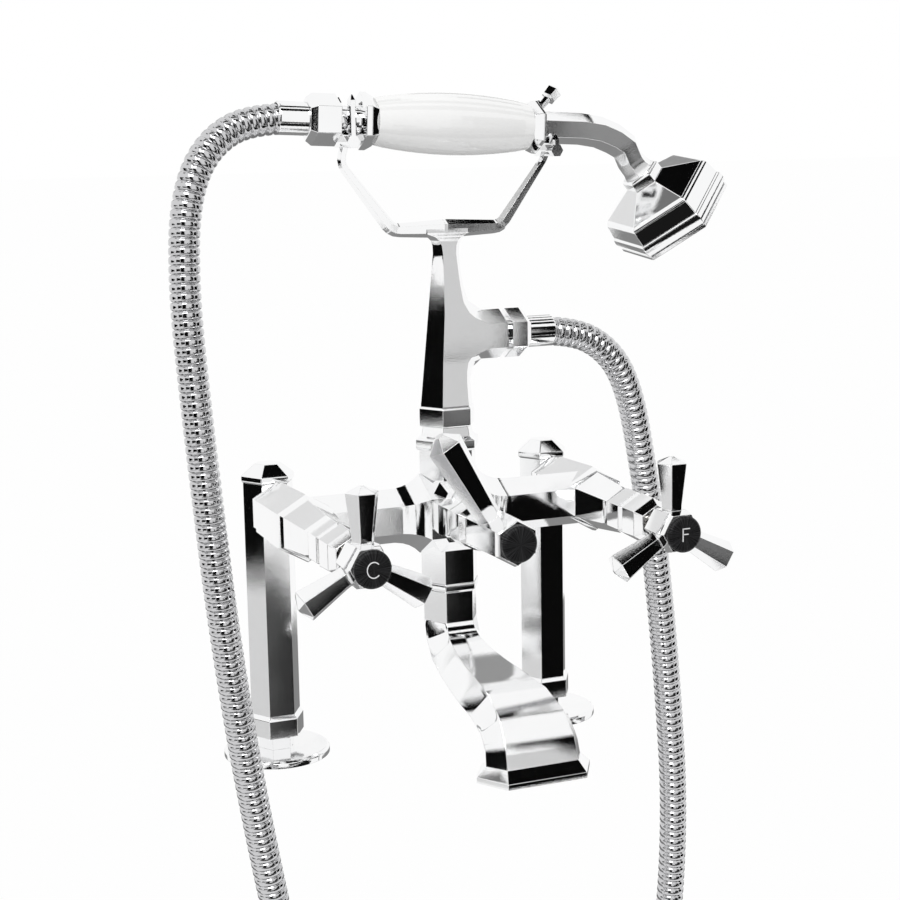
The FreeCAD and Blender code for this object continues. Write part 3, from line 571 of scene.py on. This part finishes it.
# %% The boards
BLACK = 0.004
walls = {
    "front": ("y", -1.5, (0, 1, 0)), "left": ("x", -1.5, (1, 0, 0)), "right": ("x", 1.6, (-1, 0, 0)),
    "roof": ("z", 1.6, (0, 0, -1)), "back": ("y", 2.2, (0, -1, 0)), "low": ("z", -0.55, (0, 0, 1)),
}
rows = (
    ("front_black", 1.14, 0.32, 0.9, 1.76, BLACK),
    ("front_middle", 0.62, -0.32, 0.14, 0.48, BLACK),
    ("front_half", 0.62, -0.02, 0.14, 0.12, 0.2),
    ("front_light", 0.6, 0.42, 0.18, 0.76, 0.8),
    ("front_grey", 0.495, -0.135, 0.11, 0.33, 0.12),
    ("front_low", 0.46, -0.43, 0.18, 0.26, BLACK),
    ("front_dark", 0.23, -0.4, 0.28, 0.32, 0.1),
    ("front_strip", 0.12, -0.035, 0.25, 0.17, BLACK),
    ("front_left", -0.95, 0.3, 0.9, 1.7, BLACK),
    ("left_far", 0.52, 0.07, 0.6, 0.62, BLACK),
    ("left_near", 0.06, 0.125, 0.32, 0.35, BLACK),
    ("left_low", 0.2, -0.4, 1.8, 0.3, 0.85),
    ("left_high", -0.95, 0.2, 1.0, 0.8, BLACK),
    ("right_black", -0.75, 0.08, 1.0, 1.26, BLACK),
    ("roof_black", 0.5, -0.8, 2.6, 0.5, BLACK),
    ("roof_line", 0.5, -0.14, 2.6, 0.28, BLACK),
    ("roof_patch", 0.85, 0.62, 0.4, 0.26, BLACK),
    ("roof_head", 0.08, 0.25, 0.5, 0.34, BLACK),
    ("roof_grey", -1.2, 0.25, 0.5, 0.5, 0.25),
    ("back_grey", 1.2, 1.5, 0.6, 0.6, 0.4),
    ("back_soft", -0.3, 1.3, 2.0, 0.9, 0.97),
    ("low_back", 0.4, 1.1, 2.2, 1.8, 0.3),
    ("low_front", 0.1, -1.08, 2.4, 0.66, 0.01),
)
mirrored = [board("front_neck", (0.86, -1.49, 0.19), (0, 1, 0), 0.24, 0.32, 0.35)]
for name, first, second, width, height, shade in rows:
    through, distance, facing = walls[name.split("_")[0]]
    centre = [first, second]
    centre.insert("xyz".index(through), distance)
    mirrored.append(board(name, centre, facing, width, height, shade))
for panel in mirrored:
    coating = panel.data.materials[0].node_tree.nodes["Principled BSDF"]
    coating.inputs["Specular IOR Level"].default_value = 0
    panel.visible_camera = False
    panel.visible_shadow = False
    panel.visible_diffuse = False
print("boards", len(mirrored))

# %% [markdown]
# The floor lies as far below as under a bath's rim. It is so wide that its edge comes close to the
# horizon, where it is hard to see. Seen directly it is mostly a plain white glow, which leaves a trace
# of the shadow, and the light that it throws back on things is that of a pale paint.

# %% Floor
FLOOR_Z = -0.56
FLOOR_SIZE = 80
FLOOR_GLOW = 0.97
ground = board("floor", (0, 0, FLOOR_Z), (0, 0, 1), FLOOR_SIZE, FLOOR_SIZE, 0.88)
tree = ground.data.materials[0].node_tree
glow = tree.nodes.new("ShaderNodeEmission")
share = tree.nodes.new("ShaderNodeMapRange")
share.inputs["To Max"].default_value = FLOOR_GLOW
both = tree.nodes.new("ShaderNodeMixShader")
tree.links.new(seen_directly(tree), share.inputs["Value"])
tree.links.new(share.outputs["Result"], both.inputs[0])
tree.links.new(tree.nodes["Principled BSDF"].outputs[0], both.inputs[1])
tree.links.new(glow.outputs[0], both.inputs[2])
tree.links.new(both.outputs[0], tree.nodes["Material Output"].inputs["Surface"])
print("floor at", FLOOR_Z)

# %% [markdown]
# One soft lamp above and to the left gives the hose and the porcelain a lighter side.

# %% Lamp
LAMP_WATTS = 12
LAMP_SIZE = 0.9
stand = Vector((-0.7, -1.1, 1.5))
toward = Vector((0, 0, 0.2)) - stand
lamp = add_object("key", bpy.data.lights.new("key", "AREA"))
lamp.data.energy = LAMP_WATTS
lamp.data.size = LAMP_SIZE
lamp.matrix_world = Matrix.Translation(stand) @ toward.to_track_quat("-Z", "Y").to_matrix().to_4x4()
print("lamp", lamp.data.energy)
